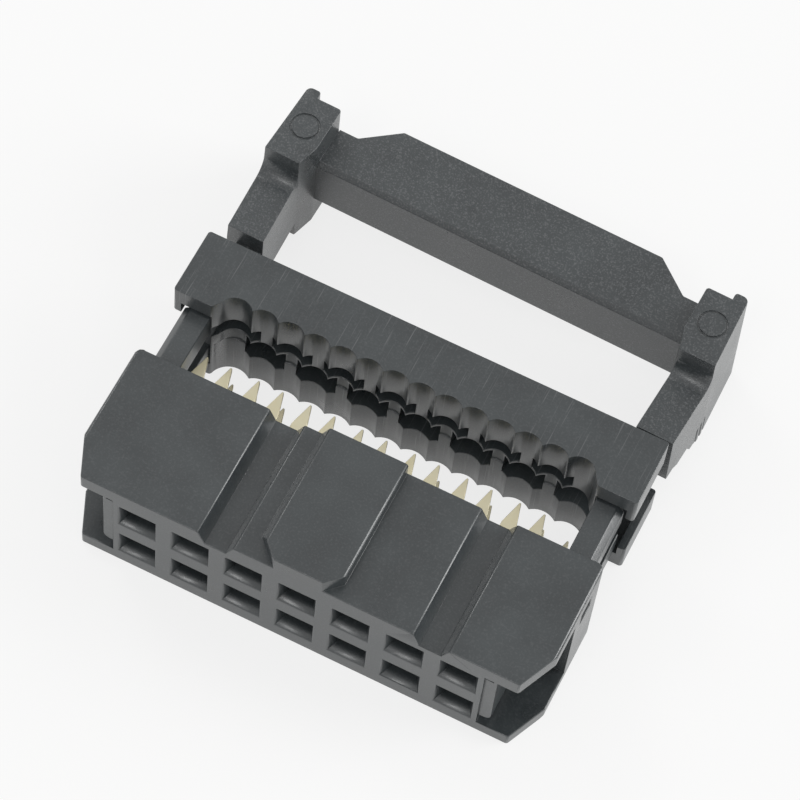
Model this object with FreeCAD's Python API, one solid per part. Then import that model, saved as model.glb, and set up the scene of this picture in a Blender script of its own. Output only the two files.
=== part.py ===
import FreeCAD
import Part

import math
import os

V = FreeCAD.Vector

# Frame: X runs along the contact rows, Y from the mating face back to the strain relief, Z up to the key.
# The origin is the middle of the contact grid, in the plane of the mating face. All sizes in mm.

# Contact grid and cable
PITCH = 2.54
COLUMNS = 7
CONDUCTOR_PITCH = PITCH / 2
CONDUCTORS = 2 * COLUMNS
LAST_COLUMN = (COLUMNS - 1) / 2 * PITCH
LAST_CONDUCTOR = (CONDUCTORS - 1) / 2 * CONDUCTOR_PITCH
CABLE_HALF_WIDTH = CONDUCTORS * CONDUCTOR_PITCH / 2

# Overall sizes that the other sizes follow
END_WIDTH = 2.28
HALF_WIDTH = CABLE_HALF_WIDTH + END_WIDTH
BODY_DEPTH = 6.7
TOP = 3.23
BOTTOM = -2.92
MIDDLE = (TOP + BOTTOM) / 2
EDGE_ROUND = 0.15
COVER_TRAVEL = 3.3
RELIEF_TRAVEL = 0.7

# Contacts: pin tines from TINE_START, then the plate, then the fork behind the body's rear face
SHEET = 0.3
FORK_LEVEL = 0.7
FORK_REACH = 2.18
FORK_TIP = BODY_DEPTH + FORK_REACH
FORK_TAPER = 1.15
FORK_SLOT_START = BODY_DEPTH - 0.3
PRONG_OFFSET = 0.585
PRONG_WIDTH = 0.7
PRONG_POINT = 0.08
PRONG_INNER = PRONG_OFFSET - PRONG_WIDTH / 2
PRONG_OUTER = PRONG_OFFSET + PRONG_WIDTH / 2
PLATE_START = BODY_DEPTH - 1.8
PLATE_END = BODY_DEPTH - 0.7
BEND_START = BODY_DEPTH - 2.6
BEND_END = BODY_DEPTH - 2.0
TINE_START = 1.3
TINE_OUTER = 0.62
TINE_INNER = 0.34
TINE_GAP = 0.5
TINE_BUMP_Y = 2.1

# Socket body
WING_CHAMFER_WIDTH = 0.85
WING_CHAMFER_DEPTH = 1.92
REAR_CORNER_ROUND = 0.35

KEY_LEFT = -1.88
KEY_RIGHT = 1.85
KEY_HEIGHT = 0.8
KEY_LEFT_SLOPE = 0.35
KEY_CHAMFER = 0.72

GROOVE_DEPTH = 0.76
GROOVE_WIDTH = 1.7
GROOVE_WALL_RUN = 0.35
GROOVE_CENTRES = (-3.9, 6.22)

HOLE_WIDTH = 1.8
HOLE_HEIGHT = 1.62
LEAD_IN_DEPTH = 0.5
TINE_CLEARANCE = 0.03
PASSAGE_WIDTH = 2 * (TINE_OUTER + TINE_CLEARANCE)
PASSAGE_HEIGHT = 1.3
PLATE_SLOT_START = BODY_DEPTH - 2.2

END_WALL = 0.28
BLOCK_HALF_WIDTH = LAST_COLUMN + HOLE_WIDTH / 2 + END_WALL
CAVITY_DEPTH = 3.85
WING_TOP_PLATE = 0.88
WING_BOTTOM_PLATE = 0.75
RIB_WIDTH = 0.55
RIB_SETBACK = 0.15
RIB_BOTTOM = -1.7
RIB_NOTCH = 0.35

WINDOW_DEPTH = 0.25
WINDOW_LENGTH = 1.0
WINDOW_HEIGHT = 0.9
WINDOW_Y = BODY_DEPTH - 1.65

FORK_CLEARANCE = 0.16
POST_INNER = LAST_CONDUCTOR + PRONG_OUTER + FORK_CLEARANCE
POST_WIDTH = 1.3
POST_OUTER = POST_INNER + POST_WIDTH
POST_TOP = 2.1
POST_BOTTOM = -1.8
POST_ENGAGEMENT = 0.15
POST_END = BODY_DEPTH + COVER_TRAVEL + POST_ENGAGEMENT
POST_CHAMFER = 0.3
POST_SPLIT_START = BODY_DEPTH + 0.5

# Cover, in the open position
COVER_FRONT = BODY_DEPTH + COVER_TRAVEL
COVER_DEPTH = 3.37
COVER_REAR = COVER_FRONT + COVER_DEPTH
COVER_TOP = 3.2
COVER_BOTTOM = -2.9
SCALLOP_CUSP = COVER_FRONT + 0.63
UPPER_SCALLOP_DEPTH = 0.33
LOWER_SCALLOP_DEPTH = 0.23
JAW_LEDGE = -0.3
COVER_STEP_Y = COVER_FRONT + 0.35
COVER_STEP_RUN = 0.4
POCKET_CLEARANCE = 0.08
POCKET_HALF_WIDTH = PRONG_OUTER + POCKET_CLEARANCE / 2
POCKET_END = COVER_FRONT + FORK_REACH + 0.42
UPPER_POCKET_TOP = 1.25
LOWER_POCKET_TOP = 0.3
POST_CLEARANCE = 0.05
CHANNEL_CLEARANCE = 0.12
CHANNEL_INNER = POST_INNER - POST_CLEARANCE
CHANNEL_OUTER = POST_OUTER + CHANNEL_CLEARANCE
LIP_TOP = 1.5
LIP_BOTTOM = -1.3

# Strain relief, hooked in loosely and a little askew
RELIEF_SKEW = -1.7
RELIEF_PIVOT_Y = (COVER_FRONT + COVER_REAR) / 2
ARM_SHOULDER = COVER_REAR + RELIEF_TRAVEL + 0.48
ARM_LENGTH = 3.52
ARM_INNER = POST_INNER + 0.11
ARM_TOE = 0.17
ARM_TOP = 1.63
ARM_BOTTOM = -1.6
ARM_HEEL = -1.95
ARM_FOOT_STEP = -2.6
ARM_FOOT_WIDTH = 0.7
ARM_FILLET = 0.7
PAD_FRONT = ARM_SHOULDER + ARM_LENGTH
PAD_REAR = PAD_FRONT + 3.44
PAD_OUTER = HALF_WIDTH + 0.03
PAD_TAPER = 0.15
PAD_DRAFT = 0.2
PAD_CHAMFER_X = 0.3
PAD_CHAMFER_Y = 1.1
PAD_INNER = ARM_INNER - PAD_CHAMFER_X
PAD_BOTTOM = BOTTOM
NUB_WIDTH = 0.65
NUB_LENGTH = 0.38
NUB_ROUND = 0.28
GRIP_NOTCHES = 3
GRIP_PITCH = 0.36
GRIP_WIDTH = 0.15
GRIP_DEPTH = 0.14
BAR_FRONT = PAD_FRONT + 1.28
BAR_REAR = BAR_FRONT + 2.15
BAR_TOP = 1.63
BAR_BOTTOM = -1.32
BAR_CHAMFER = 0.22
HUMP_BASE_HALF = PAD_INNER - 0.94
HUMP_TOP_HALF = HUMP_BASE_HALF - 1.68
HUMP_REAR = BAR_REAR + 1.33
TONGUE_CLEARANCE = 0.1
TONGUE_INNER = CHANNEL_INNER + TONGUE_CLEARANCE
TONGUE_OUTER = POST_OUTER - 0.05
TONGUE_FRONT = COVER_REAR - 1.07
TONGUE_THICKNESS = 0.9
DISC_X = (PAD_INNER + PAD_OUTER) / 2
DISC_Y = PAD_FRONT + 1.85
DISC_RADIUS = 0.7
DISC_RIM = 0.1
DISC_DEPTH = 0.08


def flat(u, v):
    return V(u, v, 0)


def upright(u, v):
    return V(u, 0, v)


def sideways(u, v):
    return V(0, u, v)


def outline(corners, place):
    """A face inside a closed outline of (u, v, radius) corners, set in space by place."""
    starts = []
    middles = []
    ends = []
    for i, (u, v, radius) in enumerate(corners):
        corner = V(u, v, 0)
        last = corners[i - 1]
        following = corners[(i + 1) % len(corners)]
        back = (V(last[0], last[1], 0) - corner).normalize()
        onward = (V(following[0], following[1], 0) - corner).normalize()
        half = back.getAngle(onward) / 2
        reach = radius / math.tan(half)
        inward = (back + onward).normalize() if radius else V(0, 0, 0)
        starts.append(corner + back * reach)
        ends.append(corner + onward * reach)
        middles.append(corner + inward * (radius / math.sin(half) - radius))
    edges = []
    for i, (u, v, radius) in enumerate(corners):
        from_point = place(ends[i - 1].x, ends[i - 1].y)
        to_point = place(starts[i].x, starts[i].y)
        edges.append(Part.makeLine(from_point, to_point))
        if radius:
            middle = place(middles[i].x, middles[i].y)
            arc_end = place(ends[i].x, ends[i].y)
            edges.append(Part.Arc(to_point, middle, arc_end).toShape())
    return Part.Face(Part.Wire(edges))


def box(x_range, y_range, z_range):
    size = V(x_range[1] - x_range[0], y_range[1] - y_range[0], z_range[1] - z_range[0])
    return Part.makeBox(size.x, size.y, size.z, V(x_range[0], y_range[0], z_range[0]))


def prism(points, start, direction, place):
    """A solid drawn as plain corners, moved to start and pulled along direction."""
    face = outline([(u, v, 0) for u, v in points], place)
    face.translate(start)
    return face.extrude(direction)


def both_ends(shape):
    return shape.fuse(shape.mirror(V(0, 0, 0), V(1, 0, 0)))


def column_x(column):
    return (column - (COLUMNS - 1) / 2) * PITCH


def body_section():
    """The moulding's outline seen from the mating face: grooves and key along its top."""
    floor = TOP - GROOVE_DEPTH
    half = HALF_WIDTH
    corners = [(-half, BOTTOM, EDGE_ROUND), (half, BOTTOM, EDGE_ROUND), (half, TOP, EDGE_ROUND)]
    for centre in reversed(GROOVE_CENTRES):
        wide = GROOVE_WIDTH / 2
        narrow = wide - GROOVE_WALL_RUN
        groove = [
            (centre + wide, TOP, EDGE_ROUND),
            (centre + narrow, floor, 0),
            (centre - narrow, floor, 0),
            (centre - wide, TOP, EDGE_ROUND),
        ]
        key = [
            (KEY_RIGHT, TOP, 0),
            (KEY_RIGHT, TOP + KEY_HEIGHT, EDGE_ROUND),
            (KEY_LEFT, TOP + KEY_HEIGHT, EDGE_ROUND),
            (KEY_LEFT - KEY_LEFT_SLOPE, TOP, 0),
        ]
        corners += groove
        if centre > 0:
            corners += key
    corners.append((-half, TOP, EDGE_ROUND))
    return outline(corners, upright)


def body_plan():
    front = HALF_WIDTH - WING_CHAMFER_WIDTH
    corners = [
        (-front, 0, EDGE_ROUND),
        (front, 0, EDGE_ROUND),
        (HALF_WIDTH, WING_CHAMFER_DEPTH, EDGE_ROUND),
        (HALF_WIDTH, BODY_DEPTH, REAR_CORNER_ROUND),
        (-HALF_WIDTH, BODY_DEPTH, REAR_CORNER_ROUND),
        (-HALF_WIDTH, WING_CHAMFER_DEPTH, EDGE_ROUND),
    ]
    return outline(corners, flat)


def key_corner_cutters():
    height = V(0, 0, 2 * KEY_HEIGHT)
    start = V(0, 0, TOP)
    left = [(KEY_LEFT - 1, -1), (KEY_LEFT + KEY_CHAMFER + 1, -1), (KEY_LEFT - 1, KEY_CHAMFER + 1)]
    right = [(KEY_RIGHT + 1, -1), (KEY_RIGHT + 1, KEY_CHAMFER + 1), (KEY_RIGHT - KEY_CHAMFER - 1, -1)]
    return prism(left, start, height, flat).fuse(prism(right, start, height, flat))


def end_cavity():
    """The open space in the right wing, with the rib left standing on the block's end wall."""
    ceiling = TOP - WING_TOP_PLATE
    floor = BOTTOM + WING_BOTTOM_PLATE
    space = box((BLOCK_HALF_WIDTH, HALF_WIDTH + 1), (-1, CAVITY_DEPTH), (floor, ceiling))
    rib_corners = [
        (BLOCK_HALF_WIDTH, RIB_BOTTOM, 0),
        (BLOCK_HALF_WIDTH + RIB_WIDTH, RIB_BOTTOM, RIB_NOTCH),
        (BLOCK_HALF_WIDTH + RIB_WIDTH, ceiling, 0),
        (BLOCK_HALF_WIDTH, ceiling, 0),
    ]
    rib = outline(rib_corners, upright)
    rib.translate(V(0, RIB_SETBACK, 0))
    rib = rib.extrude(V(0, CAVITY_DEPTH, 0))
    notch_x = (BLOCK_HALF_WIDTH, BLOCK_HALF_WIDTH + RIB_NOTCH)
    notch = box(notch_x, (-1, 2 * RIB_NOTCH), (ceiling - RIB_NOTCH, ceiling))
    return space.cut(rib).fuse(notch)


def hole_cutter():
    """One contact hole at X = 0 in the upper row: a lead-in, then a passage to the rear face."""
    level = PITCH / 2
    mouth = outline(
        [
            (-HOLE_WIDTH / 2, level - HOLE_HEIGHT / 2, 0),
            (HOLE_WIDTH / 2, level - HOLE_HEIGHT / 2, 0),
            (HOLE_WIDTH / 2, level + HOLE_HEIGHT / 2, 0),
            (-HOLE_WIDTH / 2, level + HOLE_HEIGHT / 2, 0),
        ],
        upright,
    )
    throat = outline(
        [
            (-PASSAGE_WIDTH / 2, level - PASSAGE_HEIGHT / 2, 0),
            (PASSAGE_WIDTH / 2, level - PASSAGE_HEIGHT / 2, 0),
            (PASSAGE_WIDTH / 2, level + PASSAGE_HEIGHT / 2, 0),
            (-PASSAGE_WIDTH / 2, level + PASSAGE_HEIGHT / 2, 0),
        ],
        upright,
    )
    throat.translate(V(0, LEAD_IN_DEPTH, 0))
    lead_in = Part.makeLoft([mouth.OuterWire, throat.OuterWire], True, True)
    passage_z = (level - PASSAGE_HEIGHT / 2, level + PASSAGE_HEIGHT / 2)
    passage = box((-PASSAGE_WIDTH / 2, PASSAGE_WIDTH / 2), (LEAD_IN_DEPTH, BODY_DEPTH), passage_z)
    return lead_in.fuse(passage)


def plate_slot():
    """The slot that holds one contact's plate and lets its fork out of the rear face."""
    left = -CONDUCTOR_PITCH / 2 - PRONG_OUTER
    slot_z = (FORK_LEVEL - SHEET / 2, FORK_LEVEL + SHEET / 2)
    return box((left, TINE_OUTER), (PLATE_SLOT_START, BODY_DEPTH), slot_z)


def to_row(shape, column, upper):
    """A copy of an upper-row shape at one column; the lower row has it turned over."""
    placed = shape.copy()
    if not upper:
        placed.rotate(V(0, 0, 0), V(0, 1, 0), 180)
    placed.translate(V(column_x(column), 0, 0))
    return placed


def post():
    """The right-hand post: two prongs one above the other, with a chamfer along the outer top edge."""
    section = [
        (POST_INNER, POST_BOTTOM),
        (POST_OUTER, POST_BOTTOM),
        (POST_OUTER, POST_TOP - POST_CHAMFER),
        (POST_OUTER - POST_CHAMFER, POST_TOP),
        (POST_INNER, POST_TOP),
    ]
    root = BODY_DEPTH - 1
    body = prism(section, V(0, root, 0), V(0, POST_END - root, 0), upright)
    split_half = TONGUE_THICKNESS / 2 + TONGUE_CLEARANCE
    split_z = (MIDDLE - split_half, MIDDLE + split_half)
    return body.cut(box((POST_INNER, POST_OUTER), (POST_SPLIT_START, POST_END), split_z))


def window():
    window_x = (HALF_WIDTH - WINDOW_DEPTH, HALF_WIDTH + 1)
    window_y = (WINDOW_Y - WINDOW_LENGTH / 2, WINDOW_Y + WINDOW_LENGTH / 2)
    window_top = TOP - WING_TOP_PLATE
    return box(window_x, window_y, (window_top - WINDOW_HEIGHT, window_top))


def socket_body():
    block = body_section().extrude(V(0, BODY_DEPTH, 0))
    plan = body_plan()
    plan.translate(V(0, 0, BOTTOM - 1))
    block = block.common(plan.extrude(V(0, 0, TOP - BOTTOM + KEY_HEIGHT + 2)))
    block = block.fuse(both_ends(post())).removeSplitter()
    cutters = [key_corner_cutters(), both_ends(end_cavity()), both_ends(window())]
    contact_space = hole_cutter().fuse(plate_slot())
    for column in range(COLUMNS):
        for upper in (True, False):
            cutters.append(to_row(contact_space, column, upper))
    return block.cut(cutters).removeSplitter()


def contact():
    """An upper-row contact at X = 0: tines for the pin, a plate, and a fork offset to its conductor."""
    fork_x = -CONDUCTOR_PITCH / 2
    taper_y = FORK_TIP - FORK_TAPER
    right_side = [
        (PRONG_INNER, FORK_SLOT_START),
        (PRONG_INNER, taper_y),
        (PRONG_OFFSET - PRONG_POINT / 2, FORK_TIP),
        (PRONG_OFFSET + PRONG_POINT / 2, FORK_TIP),
        (PRONG_OUTER, taper_y),
        (PRONG_OUTER, PLATE_END),
    ]
    fork = [(fork_x - x, y) for x, y in reversed(right_side)] + [(fork_x + x, y) for x, y in right_side]
    plate_right = [(TINE_OUTER, PLATE_END), (TINE_OUTER, PLATE_START)]
    right_tine = [
        (TINE_OUTER, TINE_START),
        (TINE_INNER, TINE_START),
        (TINE_GAP / 2, TINE_BUMP_Y),
        (TINE_INNER, TINE_BUMP_Y + 1),
        (TINE_INNER, PLATE_START),
    ]
    left_tine = [(-x, y) for x, y in reversed(right_tine)]
    plate_left = [(-TINE_OUTER, PLATE_START), (fork_x - PRONG_OUTER, PLATE_START)]
    points = fork + plate_right + right_tine + left_tine + plate_left
    blank = prism(points, V(0, 0, -PITCH), V(0, 0, 3 * PITCH), flat)
    half = SHEET / 2
    row = PITCH / 2
    fold = [
        (TINE_START - 1, row - half),
        (BEND_START, row - half),
        (BEND_END, FORK_LEVEL - half),
        (FORK_TIP + 1, FORK_LEVEL - half),
        (FORK_TIP + 1, FORK_LEVEL + half),
        (BEND_END, FORK_LEVEL + half),
        (BEND_START, row + half),
        (TINE_START - 1, row + half),
    ]
    folded = prism(fold, V(-PITCH, 0, 0), V(2 * PITCH, 0, 0), sideways)
    return blank.common(folded).removeSplitter()


def scallops(depth, bottom, top):
    """Round hollows for the conductors across the clamping face, between two levels."""
    half_pitch = CONDUCTOR_PITCH / 2
    radius = (half_pitch ** 2 + depth ** 2) / (2 * depth)
    tools = []
    for conductor in range(CONDUCTORS):
        x = (conductor - (CONDUCTORS - 1) / 2) * CONDUCTOR_PITCH
        centre = V(x, SCALLOP_CUSP + depth - radius, bottom)
        tools.append(Part.makeCylinder(radius, top - bottom, centre))
    return tools


def cover_plan():
    right = [
        (CABLE_HALF_WIDTH, SCALLOP_CUSP, 0),
        (CABLE_HALF_WIDTH + EDGE_ROUND, COVER_STEP_Y, 0),
        (CABLE_HALF_WIDTH + COVER_STEP_RUN, COVER_FRONT, EDGE_ROUND),
        (HALF_WIDTH, COVER_FRONT, EDGE_ROUND),
        (HALF_WIDTH, COVER_REAR, EDGE_ROUND),
    ]
    left = [(-x, y, radius) for x, y, radius in reversed(right)]
    return outline(right + left, flat)


def fork_pockets(side, top):
    """The pockets for one row of forks; the last one on its side opens into the post channel."""
    along = (COVER_FRONT, POCKET_END)
    level = (-side * FORK_LEVEL - SHEET / 2 - POCKET_CLEARANCE, top)
    tools = []
    for column in range(COLUMNS):
        centre = column_x(column) + side * CONDUCTOR_PITCH / 2
        tools.append(box((centre - POCKET_HALF_WIDTH, centre + POCKET_HALF_WIDTH), along, level))
    tools.append(box(sorted((side * LAST_CONDUCTOR, side * POST_INNER)), along, level))
    return tools


def post_channel():
    """The channel for the right-hand post, open to the side between two lips."""
    along = (COVER_FRONT - 1, COVER_REAR + 1)
    channel_z = (POST_BOTTOM - CHANNEL_CLEARANCE, POST_TOP + CHANNEL_CLEARANCE)
    channel = box((CHANNEL_INNER, CHANNEL_OUTER), along, channel_z)
    side_opening = box((CHANNEL_INNER, HALF_WIDTH + 1), along, (LIP_BOTTOM, LIP_TOP))
    return channel.fuse(side_opening)


def cover():
    plan = cover_plan()
    plan.translate(V(0, 0, COVER_BOTTOM))
    block = plan.extrude(V(0, 0, COVER_TOP - COVER_BOTTOM))
    pockets = fork_pockets(-1, UPPER_POCKET_TOP) + fork_pockets(1, LOWER_POCKET_TOP)
    hollows = scallops(UPPER_SCALLOP_DEPTH, JAW_LEDGE, COVER_TOP)
    hollows += scallops(LOWER_SCALLOP_DEPTH, COVER_BOTTOM, JAW_LEDGE)
    return block.cut(hollows + pockets + [both_ends(post_channel())]).removeSplitter()


def crossbar():
    """The bar behind the cable, with the hump along its rear and a chamfer where the cable turns."""
    half = PAD_INNER
    corners = [
        (-half, BAR_FRONT, 0),
        (half, BAR_FRONT, 0),
        (half, BAR_REAR, 0),
        (HUMP_BASE_HALF, BAR_REAR, EDGE_ROUND),
        (HUMP_TOP_HALF, HUMP_REAR, EDGE_ROUND),
        (-HUMP_TOP_HALF, HUMP_REAR, EDGE_ROUND),
        (-HUMP_BASE_HALF, BAR_REAR, EDGE_ROUND),
        (-half, BAR_REAR, 0),
    ]
    face = outline(corners, flat)
    face.translate(V(0, 0, BAR_BOTTOM))
    bar = face.extrude(V(0, 0, BAR_TOP - BAR_BOTTOM))
    wedge = [
        (BAR_FRONT, BAR_TOP - BAR_CHAMFER),
        (BAR_FRONT + BAR_CHAMFER, BAR_TOP),
        (BAR_FRONT, BAR_TOP),
    ]
    return bar.cut(prism(wedge, V(-half, 0, 0), V(2 * half, 0, 0), sideways))


def grip_notches():
    """Three upright notches across the outer face, where the pad meets the arm."""
    across = (PAD_OUTER + PAD_DRAFT - GRIP_DEPTH, PAD_OUTER + 1)
    notches = []
    for number in range(GRIP_NOTCHES):
        notch_y = PAD_FRONT - (number - 0.5) * GRIP_PITCH
        along = (notch_y - GRIP_WIDTH / 2, notch_y + GRIP_WIDTH / 2)
        notches.append(box(across, along, (PAD_BOTTOM - 1, ARM_HEEL + 0.3)))
    return notches


def ejector_mark(face_z, into):
    """A ring-shaped groove left round an ejector pin."""
    start = V(DISC_X, DISC_Y, face_z)
    depth = V(0, 0, into * DISC_DEPTH)
    ring = Part.makeCylinder(DISC_RADIUS, DISC_DEPTH, start, depth)
    return ring.cut(Part.makeCylinder(DISC_RADIUS - DISC_RIM, DISC_DEPTH, start, depth))


def drafted(plan):
    """A solid of the pad's height; plan gives its corners for the X of the outer face at one level."""
    lower = outline(plan(PAD_OUTER + PAD_DRAFT), flat)
    lower.translate(V(0, 0, PAD_BOTTOM))
    upper = outline(plan(PAD_OUTER), flat)
    upper.translate(V(0, 0, TOP))
    return Part.makeLoft([lower.OuterWire, upper.OuterWire], True, True)


def pad_plan(outer):
    rear_outer = outer - PAD_TAPER
    nub_rear = PAD_REAR + NUB_LENGTH
    return [
        (ARM_INNER, PAD_FRONT, 0),
        (outer, PAD_FRONT, 0),
        (rear_outer, nub_rear, NUB_ROUND),
        (PAD_OUTER - PAD_TAPER - NUB_WIDTH, nub_rear, EDGE_ROUND),
        (PAD_OUTER - PAD_TAPER - NUB_WIDTH, PAD_REAR, 0),
        (PAD_INNER, PAD_REAR, EDGE_ROUND),
        (PAD_INNER, PAD_FRONT + PAD_CHAMFER_Y, 0),
    ]


def arm_plan(outer):
    """The arm toes in a little from the pad to the shoulder, and is rooted inside the pad."""
    root = PAD_FRONT + 0.5
    return [
        (ARM_INNER - ARM_TOE, ARM_SHOULDER, 0),
        (outer - ARM_TOE, ARM_SHOULDER, 0),
        (outer, PAD_FRONT, 0),
        (outer - 0.2, root, 0),
        (ARM_INNER + 0.2, root, 0),
        (ARM_INNER, PAD_FRONT, 0),
    ]


def pad():
    return drafted(pad_plan).cut([ejector_mark(TOP, -1), ejector_mark(PAD_BOTTOM, 1)])


def arm():
    """The beam from the pad to the shoulder, its stepped foot, and the tongue in the cover's channel."""
    root = PAD_FRONT + 1
    beam_profile = [
        (ARM_SHOULDER, ARM_BOTTOM, 0),
        (ARM_SHOULDER + 0.6, ARM_BOTTOM, 0),
        (ARM_SHOULDER + 1.1, ARM_HEEL, 0),
        (root, ARM_HEEL, 0),
        (root, ARM_TOP + ARM_FILLET + 0.1, 0),
        (PAD_FRONT, ARM_TOP + ARM_FILLET + 0.1, 0),
        (PAD_FRONT, ARM_TOP, ARM_FILLET),
        (ARM_SHOULDER, ARM_TOP, 0),
    ]
    foot_profile = [
        (PAD_FRONT - 1.5, ARM_HEEL, 0),
        (PAD_FRONT - 1.1, ARM_FOOT_STEP, 0),
        (PAD_FRONT - 0.8, ARM_FOOT_STEP, 0),
        (PAD_FRONT - 0.45, PAD_BOTTOM, 0),
        (root, PAD_BOTTOM, 0),
        (root, ARM_HEEL + 1, 0),
        (PAD_FRONT - 1.5, ARM_HEEL + 1, 0),
    ]
    beam = outline(beam_profile, sideways).extrude(V(HALF_WIDTH + 1, 0, 0))
    foot = outline(foot_profile, sideways)
    foot.translate(V(PAD_OUTER - ARM_FOOT_WIDTH, 0, 0))
    foot = foot.extrude(V(ARM_FOOT_WIDTH + 1, 0, 0))
    tongue_z = (MIDDLE - TONGUE_THICKNESS / 2, MIDDLE + TONGUE_THICKNESS / 2)
    tongue = box((TONGUE_INNER, TONGUE_OUTER), (TONGUE_FRONT, ARM_SHOULDER + 1), tongue_z)
    return drafted(arm_plan).common(beam.fuse(foot)).fuse(tongue)


def strain_relief():
    side = pad().fuse(arm()).cut(grip_notches())
    whole = crossbar().fuse(both_ends(side)).removeSplitter()
    whole.rotate(V(0, RELIEF_PIVOT_Y, 0), V(0, 0, 1), RELIEF_SKEW)
    return whole


def main():
    os.makedirs("parts", exist_ok=True)
    pieces = {
        "socket_body": socket_body(),
        "cover": cover(),
        "strain_relief": strain_relief(),
    }
    blank = contact()
    number = 0
    for upper in (True, False):
        for column in range(COLUMNS):
            number += 1
            pieces["contact_%02d" % number] = to_row(blank, column, upper)
    for name, shape in pieces.items():
        solid = shape.Solids[0]
        if len(shape.Solids) != 1 or not solid.isValid():
            raise ValueError(name + " is not one sound solid")
        solid.exportStep("parts/" + name + ".step")


main()
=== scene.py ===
import math

import bmesh
import bpy
from mathutils import Matrix, Vector


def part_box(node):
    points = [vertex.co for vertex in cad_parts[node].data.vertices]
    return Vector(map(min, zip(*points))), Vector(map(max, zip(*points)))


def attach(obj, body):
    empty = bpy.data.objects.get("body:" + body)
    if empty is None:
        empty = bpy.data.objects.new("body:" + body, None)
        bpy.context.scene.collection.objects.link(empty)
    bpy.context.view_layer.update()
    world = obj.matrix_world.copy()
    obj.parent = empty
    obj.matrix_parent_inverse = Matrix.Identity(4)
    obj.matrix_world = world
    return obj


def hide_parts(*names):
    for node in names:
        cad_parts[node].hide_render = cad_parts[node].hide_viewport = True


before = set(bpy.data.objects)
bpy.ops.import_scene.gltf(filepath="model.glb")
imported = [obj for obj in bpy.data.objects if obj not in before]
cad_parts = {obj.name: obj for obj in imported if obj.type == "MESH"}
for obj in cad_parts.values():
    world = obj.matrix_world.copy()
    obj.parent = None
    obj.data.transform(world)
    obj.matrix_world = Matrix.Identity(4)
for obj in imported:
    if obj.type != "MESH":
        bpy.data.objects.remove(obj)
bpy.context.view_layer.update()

MM = 0.001


# Camera. The photograph looks down on the part from in front and a little to its right, through a
# long lens. Its directions and its place were fitted to the grid of holes in the mating face.
CAMERA_RIGHT = Vector((0.89523, 0.44083, 0.06496))
CAMERA_DOWN = Vector((0.41591, -0.77435, -0.47687))
CAMERA_FORWARD = Vector((-0.15992, 0.45393, -0.87657))
CAMERA_PLACE = Vector((25.18, -61.78, 141.30)) * MM
FOCAL_LENGTH = 164.68
SENSOR_WIDTH = 36
NEAREST_SEEN = 10 * MM
camera_data = bpy.data.cameras.new("camera")
camera_data.sensor_width = SENSOR_WIDTH
camera_data.lens = FOCAL_LENGTH
camera_data.clip_start = NEAREST_SEEN
camera = bpy.data.objects.new("camera", camera_data)
bpy.context.scene.collection.objects.link(camera)
camera_axes = Matrix((CAMERA_RIGHT, -CAMERA_DOWN, -CAMERA_FORWARD)).transposed()
camera.matrix_world = Matrix.Translation(CAMERA_PLACE) @ camera_axes.to_4x4()
bpy.context.scene.camera = camera
bpy.context.scene.view_settings.view_transform = "Standard"


# Socket body. It is injection moulded in black glass-filled PBT, in a steel mould whose fine grain it
# keeps. The mould leaves every edge rounded by a few hundredths of a millimetre, and those small
# rounds catch the light as thin pale lines.
BODY_EDGE = 0.05 * MM
EDGE_SEGMENTS = 2
CORNER_SHARE = 0.3
SATIN_GRAIN = 0.06 * MM
SATIN_DEPTH = 0.004 * MM
SATIN_FIBRES = 0.25
CLOUD = 2.5 * MM
PBT_DARK = "#33383a"
PBT_LIGHT = "#3c4244"
PBT_FIBRE = "#6c6e70"

# The glass fibres are a hundredth of a millimetre thick, too fine to show in the render, so they are
# drawn as pale specks this many times as wide as the mould's grain.
SPECK_SHARE = 1.6

# Points nearer than this are merged. Two faces at less than the flat angle become one face, and the
# edge between two faces at more than the sharp angle is rounded. Both angles are in radians.
MERGE_WITHIN = 0.033 * MM
FLAT_ANGLE = 0.03
SHARP_ANGLE = 0.6


def mark_edges(bm):
    """Gives each sharp edge its share of the round: all of it outside, and less in a corner."""
    weight = bm.edges.layers.float.new("bevel_weight_edge")
    for edge in bm.edges:
        turn = edge.calc_face_angle_signed(0)
        if turn > SHARP_ANGLE:
            edge[weight] = 1
        elif turn < -SHARP_ANGLE:
            edge[weight] = CORNER_SHARE


def mesh_copy(node, name):
    """A copy of a node's mesh with its loose triangles merged into flat faces."""
    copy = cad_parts[node].data.copy()
    copy.name = name
    copy.materials.clear()
    bm = bmesh.new()
    bm.from_mesh(copy)
    bmesh.ops.remove_doubles(bm, verts=bm.verts, dist=MERGE_WITHIN)
    bmesh.ops.dissolve_limit(bm, angle_limit=FLAT_ANGLE, verts=bm.verts, edges=bm.edges)
    mark_edges(bm)
    bm.to_mesh(copy)
    bm.free()
    piece = bpy.data.objects.new(name, copy)
    bpy.context.scene.collection.objects.link(piece)
    return piece


def finished_mesh(piece):
    """Applies what a piece's modifiers make of it, and takes the modifiers off."""
    bpy.context.view_layer.update()
    graph = bpy.context.evaluated_depsgraph_get()
    shown = piece.evaluated_get(graph)
    made = bpy.data.meshes.new_from_object(shown, preserve_all_data_layers=True, depsgraph=graph)
    piece.modifiers.clear()
    piece.data = made
    return piece


def round_edges(piece, width):
    """Rolls a small round over each marked edge, and shades the flat faces flat."""
    bevel = piece.modifiers.new("edge_round", "BEVEL")
    bevel.width = width
    bevel.segments = EDGE_SEGMENTS
    bevel.limit_method = "WEIGHT"
    bevel.use_clamp_overlap = False
    for polygon in piece.data.polygons:
        polygon.use_smooth = True
    flat = piece.modifiers.new("flat_faces", "WEIGHTED_NORMAL")
    flat.weight = 100
    return finished_mesh(piece)


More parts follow.
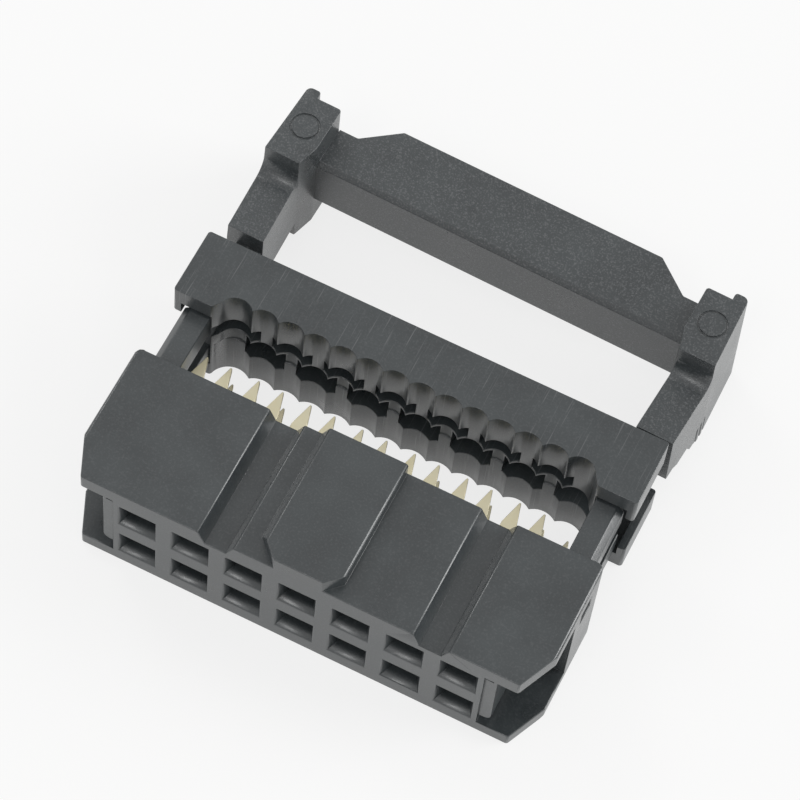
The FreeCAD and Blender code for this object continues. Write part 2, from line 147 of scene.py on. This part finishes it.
def linear(hex_colour):
    """An sRGB hex colour as the linear values that shaders take, by the sRGB standard's formula."""
    values = [int(hex_colour[i:i + 2], 16) / 255 for i in (1, 3, 5)]
    return [v / 12.92 if v <= 0.04045 else ((v + 0.055) / 1.055) ** 2.4 for v in values] + [1]


def add(tree, kind, links=None, **settings):
    """Adds a node and sets its fields, then its inputs: an output is linked, any other value stored."""
    node = tree.nodes.new(kind)
    for field, value in settings.items():
        setattr(node, field, value)
    for socket, value in (links or {}).items():
        if isinstance(value, bpy.types.NodeSocket):
            tree.links.new(value, node.inputs[socket])
        else:
            node.inputs[socket].default_value = value
    return node


def new_material(name):
    """An empty material and its node tree."""
    material = bpy.data.materials.new(name)
    material.use_nodes = True
    material.node_tree.nodes.clear()
    return material, material.node_tree


def tinted(tree, pattern, under, over, start=0.0, full=1.0, most=1.0):
    """A colour that turns from under to over, at most so far, as a pattern rises from start to full."""
    span = {"Value": pattern, "From Min": start, "From Max": full, "To Min": 0.0, "To Max": most}
    share = add(tree, "ShaderNodeMapRange", span).outputs["Result"]
    return add(tree, "ShaderNodeMix", {0: share, 6: under, 7: over}, data_type="RGBA").outputs[2]


def streaks(tree, place, turn, width, length):
    """Noise drawn out into straight marks of a given width and length, turned by an angle."""
    scale = (1 / width, 1 / length, 1 / length)
    drawn = add(tree, "ShaderNodeMapping", {"Vector": place, "Rotation": (0, 0, turn), "Scale": scale})
    marks = {"Vector": drawn.outputs["Vector"], "Scale": 1, "Detail": 2}
    return add(tree, "ShaderNodeTexNoise", marks).outputs["Fac"]


def moulded_pbt(name, grain, depth, fibres, scratches=0.0):
    """Black glass-filled PBT: satin, greyed by fibres near its skin, with the grain of its mould."""
    material, tree = new_material(name)
    place = add(tree, "ShaderNodeTexCoord").outputs["Object"]
    pits = add(tree, "ShaderNodeTexNoise", {"Vector": place, "Scale": 1 / grain, "Detail": 3})
    speck = SPECK_SHARE * grain
    specks = add(tree, "ShaderNodeTexNoise", {"Vector": place, "Scale": 1 / speck, "Detail": 2})
    cloud = add(tree, "ShaderNodeTexNoise", {"Vector": place, "Scale": 1 / CLOUD, "Detail": 4})
    patches = cloud.outputs["Fac"]
    shade = tinted(tree, patches, linear(PBT_DARK), linear(PBT_LIGHT), start=0.35, full=0.7)
    fibre = linear(PBT_FIBRE)
    colour = tinted(tree, specks.outputs["Fac"], shade, fibre, start=0.5, full=0.75, most=fibres)
    if scratches:
        marks = streaks(tree, place, turn=0.35, width=0.06 * MM, length=2.4 * MM)
        colour = tinted(tree, marks, colour, fibre, start=0.62, full=0.76, most=scratches)
    sheen = {"Value": patches, "From Min": 0.3, "From Max": 0.7, "To Min": 0.26, "To Max": 0.36}
    roughness = add(tree, "ShaderNodeMapRange", sheen)
    bump = add(tree, "ShaderNodeBump", {"Height": pits.outputs["Fac"], "Strength": 1, "Distance": depth})
    skin = {
        "Base Color": colour,
        "Roughness": roughness.outputs["Result"],
        "Normal": bump.outputs["Normal"],
        "IOR": 1.6,
        "Specular IOR Level": 0.8,
        "Coat Weight": 0.2,
        "Coat Roughness": 0.15,
    }
    shader = add(tree, "ShaderNodeBsdfPrincipled", skin)
    add(tree, "ShaderNodeOutputMaterial", {"Surface": shader.outputs["BSDF"]})
    return material


def place_moulding(node, body, edge, material):
    """Puts a finished copy of a node in that node's place, with its edges rounded and its material."""
    moulding = round_edges(mesh_copy(node, node + "_moulding"), edge)
    moulding.data.materials.append(material)
    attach(moulding, body)
    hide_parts(node)


satin_pbt = moulded_pbt("moulded_pbt_satin", SATIN_GRAIN, SATIN_DEPTH, SATIN_FIBRES)
place_moulding("socket_body", "socket", BODY_EDGE, satin_pbt)


# Cover. A second moulding in the same black PBT, pressed down over the cable by hand or in a vice.
# Its broad top has been handled, so it carries fine scratches, which show paler than the surface.
COVER_EDGE = 0.03 * MM
SCRATCHES = 0.8
scratched_pbt = moulded_pbt("moulded_pbt_scratched", SATIN_GRAIN, SATIN_DEPTH, SATIN_FIBRES, SCRATCHES)
place_moulding("cover", "cover", COVER_EDGE, scratched_pbt)


# Strain relief. The clip that holds the folded cable down, again in black PBT. Its mould was eroded
# three times as deep, so that its faces sparkle where the others are smooth.
RELIEF_EDGE = 0.02 * MM
ERODED_GRAIN = 0.05 * MM
ERODED_DEPTH = 0.012 * MM
ERODED_FIBRES = 0.8
eroded_pbt = moulded_pbt("moulded_pbt_eroded", ERODED_GRAIN, ERODED_DEPTH, ERODED_FIBRES)
place_moulding("strain_relief", "strain_relief", RELIEF_EDGE, eroded_pbt)


# Contacts. Each is stamped from phosphor bronze strip, bent once, and flashed with pale gold over
# nickel. All fourteen come off one tool; the lower row is the same piece turned over.
CONTACT_PITCH = 2.54 * MM
CONTACT_COLUMNS = 7
STAMPED_EDGE = 0.03 * MM
GOLD = "#fbf5dc"
GOLD_DEEP = "#f2e8c2"
PLATING_CLOUD = 0.8 * MM

# The strip's rolling lines are finer than the render can show, so they are drawn this wide and long.
ROLLING_WIDTH = 0.05 * MM
ROLLING_LENGTH = 1.5 * MM
ROLLING_DEPTH = 0.002 * MM


def plated_bronze():
    """Pale gold over nickel: bright metal, with the rolling lines of the strip along its length."""
    material, tree = new_material("gold_flashed_phosphor_bronze")
    place = add(tree, "ShaderNodeTexCoord").outputs["Object"]
    cloud = add(tree, "ShaderNodeTexNoise", {"Vector": place, "Scale": 1 / PLATING_CLOUD, "Detail": 2})
    tint = tinted(tree, cloud.outputs["Fac"], linear(GOLD), linear(GOLD_DEEP))
    lines = streaks(tree, place, turn=0, width=ROLLING_WIDTH, length=ROLLING_LENGTH)
    bump = add(tree, "ShaderNodeBump", {"Height": lines, "Strength": 1, "Distance": ROLLING_DEPTH})
    plating = {"Base Color": tint, "Metallic": 1, "Roughness": 0.5, "Normal": bump.outputs["Normal"]}
    shader = add(tree, "ShaderNodeBsdfPrincipled", plating)
    add(tree, "ShaderNodeOutputMaterial", {"Surface": shader.outputs["BSDF"]})
    return material


def contact_rows(stamping, material):
    """Sets one stamping out in two rows with a node tree, the lower row turned over."""
    tree = bpy.data.node_groups.new("contact_rows", "GeometryNodeTree")
    tree.interface.new_socket("Stamping", in_out="INPUT", socket_type="NodeSocketGeometry")
    pitch = tree.interface.new_socket("Pitch", in_out="INPUT", socket_type="NodeSocketFloat")
    columns = tree.interface.new_socket("Columns", in_out="INPUT", socket_type="NodeSocketInt")
    tree.interface.new_socket("Contacts", in_out="OUTPUT", socket_type="NodeSocketGeometry")
    given = add(tree, "NodeGroupInput").outputs
    gaps = add(tree, "ShaderNodeMath", {0: given["Columns"], 1: 1.0}, operation="SUBTRACT")
    half = add(tree, "ShaderNodeMath", {0: gaps.outputs[0], 1: -0.5}, operation="MULTIPLY")
    first = add(tree, "ShaderNodeMath", {0: half.outputs[0], 1: given["Pitch"]}, operation="MULTIPLY")
    start = add(tree, "ShaderNodeCombineXYZ", {"X": first.outputs[0]}).outputs[0]
    step = add(tree, "ShaderNodeCombineXYZ", {"X": given["Pitch"]}).outputs[0]
    points = {"Count": given["Columns"], "Start Location": start, "Offset": step}
    line = add(tree, "GeometryNodeMeshLine", points).outputs["Mesh"]
    both = add(tree, "GeometryNodeJoinGeometry")
    for turn in (0, math.pi):
        copies = {"Points": line, "Instance": given["Stamping"], "Rotation": (0, turn, 0)}
        row = add(tree, "GeometryNodeInstanceOnPoints", copies)
        tree.links.new(row.outputs["Instances"], both.inputs["Geometry"])
    real = add(tree, "GeometryNodeRealizeInstances", {"Geometry": both.outputs["Geometry"]})
    plated = {"Geometry": real.outputs["Geometry"], "Material": material}
    contacts = add(tree, "GeometryNodeSetMaterial", plated)
    add(tree, "NodeGroupOutput", {"Contacts": contacts.outputs["Geometry"]})
    modifier = stamping.modifiers.new("contact_rows", "NODES")
    modifier.node_group = tree
    modifier[pitch.identifier] = CONTACT_PITCH
    modifier[columns.identifier] = CONTACT_COLUMNS
    return finished_mesh(stamping)


middle_contact = round_edges(mesh_copy("contact_04", "contacts"), STAMPED_EDGE)
contacts = contact_rows(middle_contact, plated_bronze())
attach(contacts, "socket")
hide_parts(*["contact_%02d" % n for n in range(1, 2 * CONTACT_COLUMNS + 1)])


# Studio. A white sweep in even white light, with three soft boxes that face the part: from behind on
# the left, low on the right, and high in front, where each lights one side's rounded edges. The floor
# shows nearly white, and keeps the part's soft shadow.
FLOOR_WHITE = "#fbfbfa"
FLOOR_REACH = 1.5
CAMERA_GLOW = 0.78
GLOSSY_GLOW = 0.55
WHITE = (1, 1, 1, 1)
floor_level = min(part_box(node)[0][2] for node in ("socket_body", "strain_relief"))
floor_corners = [(-1, -1), (1, -1), (1, 1), (-1, 1)]
floor_points = [(x * FLOOR_REACH, y * FLOOR_REACH, floor_level) for x, y in floor_corners]
floor_mesh = bpy.data.meshes.new("floor")
floor_mesh.from_pydata(floor_points, [], [range(4)])
floor = bpy.data.objects.new("floor", floor_mesh)
bpy.context.scene.collection.objects.link(floor)
paper, tree = new_material("white_paper_sweep")
surface = add(tree, "ShaderNodeBsdfDiffuse", {"Color": linear(FLOOR_WHITE)})
glow = add(tree, "ShaderNodeEmission", {"Color": WHITE, "Strength": 1})
ray = add(tree, "ShaderNodeLightPath").outputs
seen = add(tree, "ShaderNodeMath", {0: ray["Is Camera Ray"], 1: CAMERA_GLOW}, operation="MULTIPLY")
glossy = add(tree, "ShaderNodeMath", {0: ray["Is Glossy Ray"], 1: GLOSSY_GLOW}, operation="MULTIPLY")
share = add(tree, "ShaderNodeMath", {0: seen.outputs[0], 1: glossy.outputs[0]}, operation="ADD")
parts = {0: share.outputs[0], 1: surface.outputs["BSDF"], 2: glow.outputs["Emission"]}
mixed = add(tree, "ShaderNodeMixShader", parts)
add(tree, "ShaderNodeOutputMaterial", {"Surface": mixed.outputs["Shader"]})
floor.data.materials.append(paper)

WORLD_LIGHT = 0.54
world = bpy.data.worlds.new("studio")
bpy.context.scene.world = world
world.use_nodes = True
world_inputs = world.node_tree.nodes["Background"].inputs
world_inputs["Color"].default_value = WHITE
world_inputs["Strength"].default_value = WORLD_LIGHT

AIM_POINT = Vector((0, 10, 0)) * MM


def soft_light(name, place, size, brightness):
    """A square soft box that faces the part; brightness is its radiance, where 1 looks white."""
    data = bpy.data.lights.new(name, "AREA")
    data.shape = "SQUARE"
    data.size = size
    data.energy = brightness * math.pi * size ** 2
    light = bpy.data.objects.new(name, data)
    bpy.context.scene.collection.objects.link(light)
    aim = (AIM_POINT - Vector(place)).to_track_quat("-Z", "Y")
    light.matrix_world = Matrix.Translation(place) @ aim.to_matrix().to_4x4()


soft_light("key_lamp", place=(-0.55, 0.35, 0.6), size=0.25, brightness=4)
soft_light("side_box", place=(0.75, 0.4, 0.38), size=0.5, brightness=5)
soft_light("front_lamp", place=(-0.08, -0.5, 0.75), size=0.2, brightness=6)
